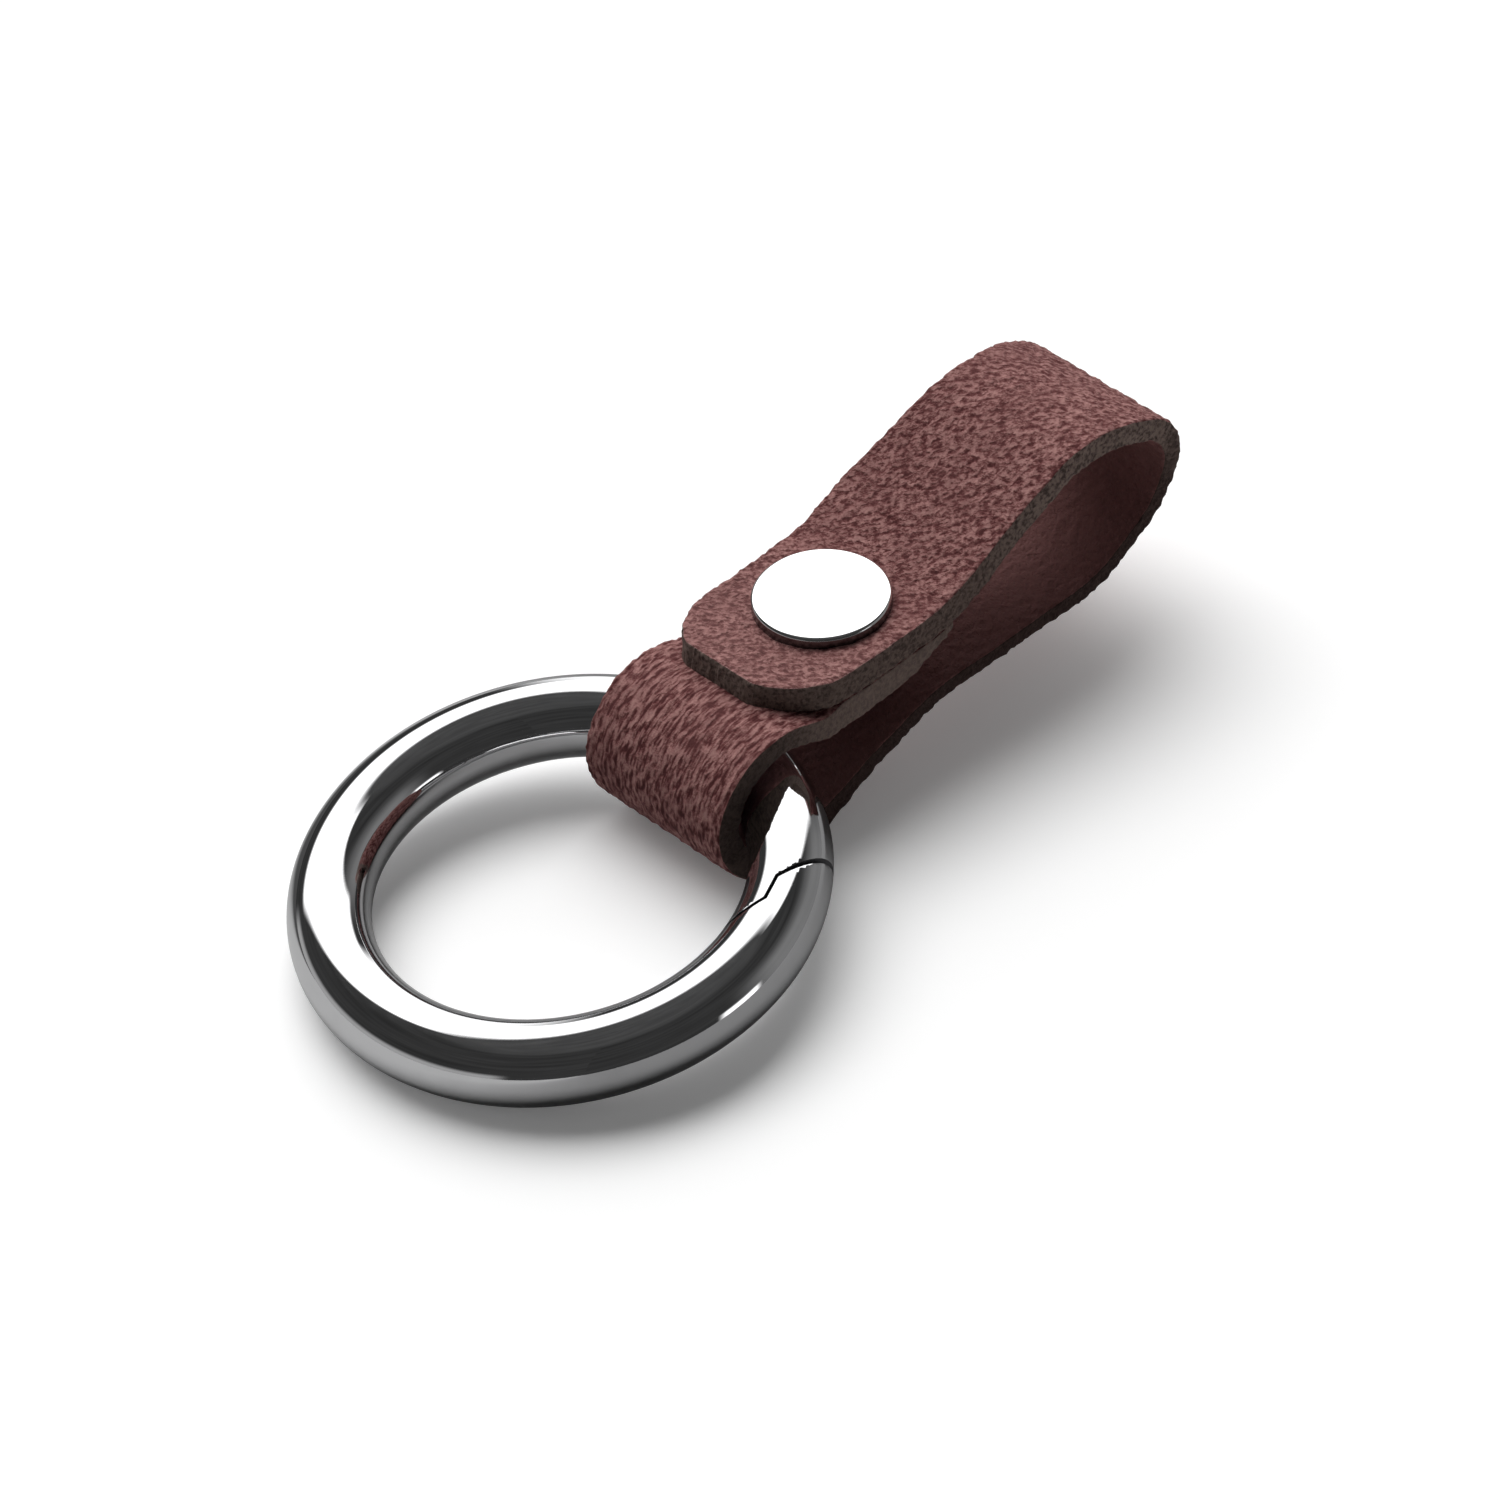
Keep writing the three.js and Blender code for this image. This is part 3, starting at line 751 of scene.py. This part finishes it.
def suede_nap(sheet, along, plain):
    """The nap's grain: in rows over the fold, slanting on the rest."""
    side = node(sheet, "ShaderNodeSeparateXYZ", None, {0: plain}, output="Y")
    lengthwise = node(sheet, "ShaderNodeCombineXYZ", None, {0: along * 1.25, 1: side * 3.3, 2: 0.0})
    slanting = node(
        sheet, "ShaderNodeCombineXYZ", None, {0: (along - side) * 1.45, 1: (along + side) * 1.9, 2: 7.0})
    on_fold = stretch(sheet, along, (80.0, 84.0), (100.0, 103.0))
    rows = noise(sheet, lengthwise, 1.0, 1.0, 0.5)
    grain = noise(sheet, slanting, 1.0, 2.0, 0.55)
    drift = noise(sheet, slanting, 0.3, 2.0, 0.55)
    return grain + on_fold * (rows - grain) + (drift - 0.5) * 0.3


def nap_tone(sheet, along, plain, nap, fibres, ridges):
    """The outer side: the nap's grain, with painted highlights on its ridges and fibre ends and painted
    shade in the pits between them, less painted pit shade on the crest, and painted light on the tab.
    """
    # Painted light on the nap: the ridges light and the hollows between them dark, over the grain.
    tone = mixed(sheet, ridges, colour(95, 51, 51), colour(138, 95, 92))
    # Painted highlight on the ends of the nap's fibres.
    painted_highlight_tips = smooth_step(sheet, nap * 0.7 + fibres * 0.4, 0.52, 0.74)
    tone = mixed(sheet, painted_highlight_tips * 0.8, tone, colour(176, 133, 128))
    # Painted shade in the nap's pits, weaker on the crest.
    on_crest = stretch(sheet, along, (24.0, 36.0), (44.0, 52.0))
    painted_pit_shade = 1 - smooth_step(sheet, nap + (fibres - 0.5) * 0.2, 0.3, 0.42)
    tone = mixed(sheet, painted_pit_shade * (0.66 - 0.24 * on_crest), tone, colour(64, 29, 30))
    blotches = smooth_step(sheet, noise(sheet, plain, 0.3, 2.0), 0.4, 0.7)
    tone = mixed(sheet, blotches * 0.3, tone, colour(110, 69, 68))
    # Painted light: the tab's upward face is painted lighter.
    painted_light_on_tab = 1 - smooth_step(sheet, along, 7.0, 14.0)
    return mixed(sheet, painted_light_on_tab * 0.15, tone, colour(158, 121, 117))


def raw_edge_tone(sheet, along, plain, fibres):
    """The cut edges: speckled, light where the loop rises, and darkened by painted shade on the lower leg,
    in the fold and at the tab's tip.
    """
    specks = smooth_step(sheet, noise(sheet, plain, 3.1, 2.5), 0.34, 0.6)
    raw = mixed(sheet, specks, colour(72, 59, 55), colour(107, 91, 84))
    raw = mixed(sheet, smooth_step(sheet, fibres, 0.5, 0.75) * 0.5, raw, colour(136, 116, 108))
    raised = stretch(sheet, along, (16.0, 26.0), (37.0, 41.0))
    raw = mixed(sheet, raised * 0.25 * specks, raw, colour(164, 144, 134))
    # Painted shade on the lower leg's cut edge, which faces away from the light.
    painted_shade_lower_leg = stretch(sheet, along, (38.0, 45.0), (78.0, 86.0))
    raw = mixed(sheet, painted_shade_lower_leg * 0.8, raw, colour(50, 33, 31))
    second_layer = smooth_step(sheet, along, 96.0, 104.0)
    raw = mixed(sheet, second_layer * 0.4, raw, colour(144, 126, 118))
    # Painted shade on the cut edge in the fold.
    painted_shade_in_fold = stretch(sheet, along, (78.0, 86.0), (95.0, 102.0))
    raw = mixed(sheet, painted_shade_in_fold * 0.65, raw, colour(56, 47, 43))
    # Painted shade on the tab tip's cut edge.
    painted_shade_at_tip = 1 - smooth_step(sheet, along, 3.0, 9.0)
    return mixed(sheet, painted_shade_at_tip * 0.1, raw, colour(44, 34, 30))


def suede_finish():
    material, sheet = finish("suede")
    along = kept_mark(sheet, "along")
    inner = kept_mark(sheet, "inner")
    cut = kept_mark(sheet, "cut")
    plain = place_in_mm(sheet)
    fibres = noise(sheet, plain, 5.2, 2.0, 0.6)
    nap = suede_nap(sheet, along, plain)
    ridges = smooth_step(sheet, nap + (fibres - 0.5) * 0.25, 0.34, 0.6)
    tone = nap_tone(sheet, along, plain, nap, fibres, ridges)
    flesh = mixed(sheet, fibres, colour(112, 76, 74), colour(136, 96, 93))
    tone = mixed(sheet, smooth_step(sheet, inner, 0.3, 0.7), tone, flesh)
    rim = stretch(sheet, cut, (0.06, 0.2), (0.3, 0.5)) * (1 - inner)
    # Pale flecks on the corner between the tab's face and its cut edges.
    pale_flecks = smooth_step(sheet, fibres, 0.35, 0.65) * (1 - smooth_step(sheet, along, 12.0, 20.0))
    tone = mixed(sheet, rim * pale_flecks * 0.55, tone, colour(186, 150, 148))
    edge = smooth_step(sheet, cut + (fibres - 0.5) * 0.7 + (nap - 0.5) * 0.3, 0.42, 0.66)
    shade = mixed(sheet, edge, tone, raw_edge_tone(sheet, along, plain, fibres))
    height = ridges * 0.6 + fibres * 0.4
    bump = node(sheet, "ShaderNodeBump", None, {"Strength": 0.7, "Distance": 0.15 * MM, "Height": height})
    surface(
        sheet, Base_Color=shade, Roughness=0.82 + 0.12 * fibres, Normal=bump,
        Specular_IOR_Level=0.15, Sheen_Weight=0.08, Sheen_Roughness=0.45, Sheen_Tint=colour(190, 150, 146))
    return material


def chrome_finish(name, tint, low, high):
    material, sheet = finish(name)
    point = place_in_mm(sheet)
    haze = noise(sheet, point, 0.35, 3.0)
    hairlines = noise(sheet, place_in_mm(sheet, (0.4, 9.0, 6.0)), 1.2, 2.0)
    darker = tuple(0.86 * c for c in tint[:3]) + (1.0,)
    shade = mixed(sheet, smooth_step(sheet, haze, 0.4, 0.7) * 0.35, tint, darker)
    cut = kept_mark(sheet, "cut_face")
    # Painted shade: faces cut into the stock are near black, so slots and seams read as dark lines.
    shade = mixed(sheet, cut, shade, (0.11, 0.11, 0.115, 1.0))
    polish = low + (high - low) * smooth_step(sheet, haze, 0.35, 0.75)
    bump = node(
        sheet, "ShaderNodeBump", None, {"Strength": 0.02, "Distance": 0.02 * MM, "Height": hairlines})
    surface(sheet, Base_Color=shade, Metallic=1.0, Roughness=polish + 0.4 * cut, Normal=bump)
    return material


def cap_finish():
    """A polished crown on a duller skirt that is painted dark, as painted shade and a painted dark
    reflection under the rim.
    """
    material, sheet = finish("cap_chrome")
    point = place_in_mm(sheet)
    height = node(sheet, "ShaderNodeSeparateXYZ", None, {0: point}, output="Z")
    haze = noise(sheet, point, 0.35, 3.0)
    crown = smooth_step(sheet, height, CAP_TOP - 0.3, CAP_TOP - 0.14)
    # Painted shade: the skirt's colour is dark, for the shade and dark reflection under the rim.
    shade = mixed(sheet, crown, (0.16, 0.16, 0.165, 1.0), grey(0.9))
    surface(sheet, Base_Color=shade, Metallic=1.0, Roughness=0.24 - 0.19 * crown + 0.02 * haze)
    return material


def steel_finish():
    material, sheet = finish("drawn_steel")
    lines = noise(sheet, place_in_mm(sheet, (3.0, 3.0, 14.0)), 1.0, 3.0)
    shade = mixed(sheet, lines, colour(120, 121, 124), colour(178, 179, 182))
    bump = node(sheet, "ShaderNodeBump", None, {"Strength": 0.15, "Distance": 0.03 * MM, "Height": lines})
    surface(sheet, Base_Color=shade, Metallic=1.0, Roughness=0.24 + 0.2 * lines, Normal=bump)
    return material


suede = suede_finish()
ring_chrome = chrome_finish("ring_chrome", (0.80, 0.80, 0.81, 1.0), 0.025, 0.06)
cap_chrome = cap_finish()
back_chrome = chrome_finish("back_cap_chrome", grey(0.88), 0.04, 0.08)
steel = steel_finish()


def dress(piece, material, body, cad_node):
    piece.data.materials.clear()
    piece.data.materials.append(material)
    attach(piece, body)
    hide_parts(cad_node)


# Pieces

dress(make_ring_body(), ring_chrome, "ring", "ring_body")
dress(make_gate(), ring_chrome, "gate", "gate")
dress(make_strap(), suede, "strap", "strap")

cap_low, cap_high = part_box("rivet_cap")
rivet_x = (cap_low.x + cap_high.x) / 2
cap = turned("rivet_cap_turned", cap_profile(CAP_RADIUS, CAP_HEIGHT))
place(cap, Matrix.Translation((rivet_x, 0, cap_low.z)))
dress(cap, cap_chrome, "strap", "rivet_cap")

back_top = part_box("rivet_back_cap")[1].z
back_cap = turned("rivet_back_cap_turned", cap_profile(BACK_CAP_RADIUS, CAP_HEIGHT))
place(back_cap, Matrix.Translation((rivet_x, 0, back_top)) @ Matrix.Rotation(math.pi, 4, "X"))
dress(back_cap, back_chrome, "strap", "rivet_back_cap")

pin_end = [(0.02, PIN_HALF_LENGTH), (PIN_END_RADIUS, PIN_HALF_LENGTH)]
pin_end.append((PIN_RADIUS, PIN_HALF_LENGTH - PIN_CHAMFER))
pin_profile = [(radius, -height) for radius, height in pin_end] + pin_end[::-1]
pin = turned("hinge_pin_ground", pin_profile, 48)
place(pin, ring_frame @ Matrix.Translation((hinge.x * MM, hinge.y * MM, 0)))
dress(pin, ring_chrome, "ring", "hinge_pin")

spring = make_spring()
dress(spring, steel, "ring", "gate_spring")
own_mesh(spring)

for name in ("spring_plunger", "rivet_socket", "rivet_post"):
    for material_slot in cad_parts[name].material_slots:
        material_slot.material = steel

# Floor, light and camera

SOFTBOX_AHEAD = (0.651, 0.759, 0.0)
SOFTBOX_BESIDE = (-0.759, 0.651, 0.0)
# Panels of light: level, right side, left side, low end, high end and softness, in degrees
SHED_PANELS = [(4.35, -35, 75, 40, 80, 12), (1.4, -40, 55, 8, 40, 10)]
MIRRORED_PANELS = [
    (1.7, -42, 48, 20, 62, 7), (1.3, -22, 6, -5, 22, 8), (0.17, -112, -42, -14, 32, 28),
    (1.6, -127, -110, -4, 10, 5), (0.35, 52, 150, -5, 9, 8)]
SHED_DIM = 0.09
CAMERA_PLACE = (-0.1695223, -0.1973555, 0.2372214)
CAMERA_TURN = (48.0467, 3.8266, -44.0495)
CAMERA_LENS = 124.944


def ray(sheet, kind):
    """1 for light on a path of this kind, else 0."""
    return node(sheet, "ShaderNodeLightPath", None, None, output=kind)


def lay_floor():
    """White paper whose colour in the chrome is painted darker: painted shade on the camera side and
    right, and a painted dark reflection far left.
    """
    begin()
    bpy.ops.mesh.primitive_plane_add(size=3.0, location=(0, 0, 0))
    floor = bpy.context.object
    floor.name = "floor"
    material, sheet = finish("floor_paper")
    seen = ray(sheet, "Is Camera Ray")
    spot = place_in_mm(sheet)
    ahead = part_along(sheet, spot, SOFTBOX_AHEAD)
    beside = part_along(sheet, spot, SOFTBOX_BESIDE)
    # Painted shade in the reflection: the paper mirrors darker on the camera side and right.
    mirrored = mixed(sheet, smooth_step(sheet, beside, 8.0, 34.0), grey(0.26), grey(0.5))
    # Painted dark reflection far left.
    dark_reflection_far_left = smooth_step(sheet, ahead - 0.3 * beside, -18.0, -4.0)
    dark_reflection_far_left = dark_reflection_far_left * smooth_step(sheet, beside, 28.0, 40.0)
    mirrored = mixed(sheet, dark_reflection_far_left, mirrored, grey(0.08))
    paper = mixed(sheet, ray(sheet, "Is Glossy Ray"), grey(0.7), mirrored)
    paper = mixed(sheet, seen, paper, grey(1.0))
    matt = node(sheet, "ShaderNodeBsdfDiffuse", None, {"Color": paper})
    lifted = node(sheet, "ShaderNodeEmission", None, {"Color": grey(1.0), "Strength": seen * 0.1})
    both = node(sheet, "ShaderNodeAddShader", None, {0: matt, 1: lifted})
    node(sheet, "ShaderNodeOutputMaterial", None, {"Surface": both})
    floor.data.materials.append(material)


def panel(sheet, turn, lift, right, left, low, high, soft):
    """A panel of light with soft sides, in degrees left of the far side and degrees up."""
    half = soft / 2
    sides = stretch(sheet, turn, (right - half, right + half), (left - half, left + half))
    return sides * stretch(sheet, lift, (low - half, low + half), (high - half, high + half))


def light_studio(scene):
    """The light that the panels shed, and the panels that the chrome mirrors instead."""
    world = bpy.data.worlds.new("studio")
    scene.world = world
    world.use_nodes = True
    sheet = world.node_tree
    sheet.nodes.clear()
    aim = node(sheet, "ShaderNodeTexCoord", None, None, output="Generated")
    ahead = part_along(sheet, aim, SOFTBOX_AHEAD)
    beside = part_along(sheet, aim, SOFTBOX_BESIDE)
    above = part_along(sheet, aim, (0, 0, 1))
    turn = node(sheet, "ShaderNodeMath", {"operation": "ARCTAN2"}, {0: beside, 1: ahead})
    turn = turn * math.degrees(1)
    lift = node(sheet, "ShaderNodeMath", {"operation": "ARCSINE"}, {0: above})
    lift = lift * math.degrees(1)
    bands = node(sheet, "ShaderNodeCombineXYZ", None, {0: turn * 0.02, 1: lift * 0.16, 2: 0.0})
    streaks = noise(sheet, bands, 1.0, 2.0)
    mirrored = 0.012 + 0.05 * streaks + 0.03 * smooth_step(sheet, lift, 58, 68)
    for level, *sides in MIRRORED_PANELS:
        mirrored = mirrored + level * panel(sheet, turn, lift, *sides)
    shed = SHED_DIM
    for level, *sides in SHED_PANELS:
        shed = shed + level * panel(sheet, turn, lift, *sides)
    light = shed + ray(sheet, "Is Glossy Ray") * (mirrored - shed)
    room = node(sheet, "ShaderNodeBackground", None, {"Color": grey(1.0), "Strength": light})
    white = node(sheet, "ShaderNodeBackground", None, {"Color": grey(1.0), "Strength": 1.0})
    seen = ray(sheet, "Is Camera Ray")
    shown = node(sheet, "ShaderNodeMixShader", None, {0: seen, 1: room, 2: white})
    node(sheet, "ShaderNodeOutputWorld", None, {"Surface": shown})


def set_camera(scene):
    begin()
    camera_turn = [math.radians(degrees) for degrees in CAMERA_TURN]
    bpy.ops.object.camera_add(location=CAMERA_PLACE, rotation=camera_turn)
    camera = bpy.context.object
    camera.data.lens = CAMERA_LENS
    camera.data.clip_start = 0.01
    scene.camera = camera
    begin()


lay_floor()
bpy.context.scene.view_settings.view_transform = "Standard"
light_studio(bpy.context.scene)
set_camera(bpy.context.scene)
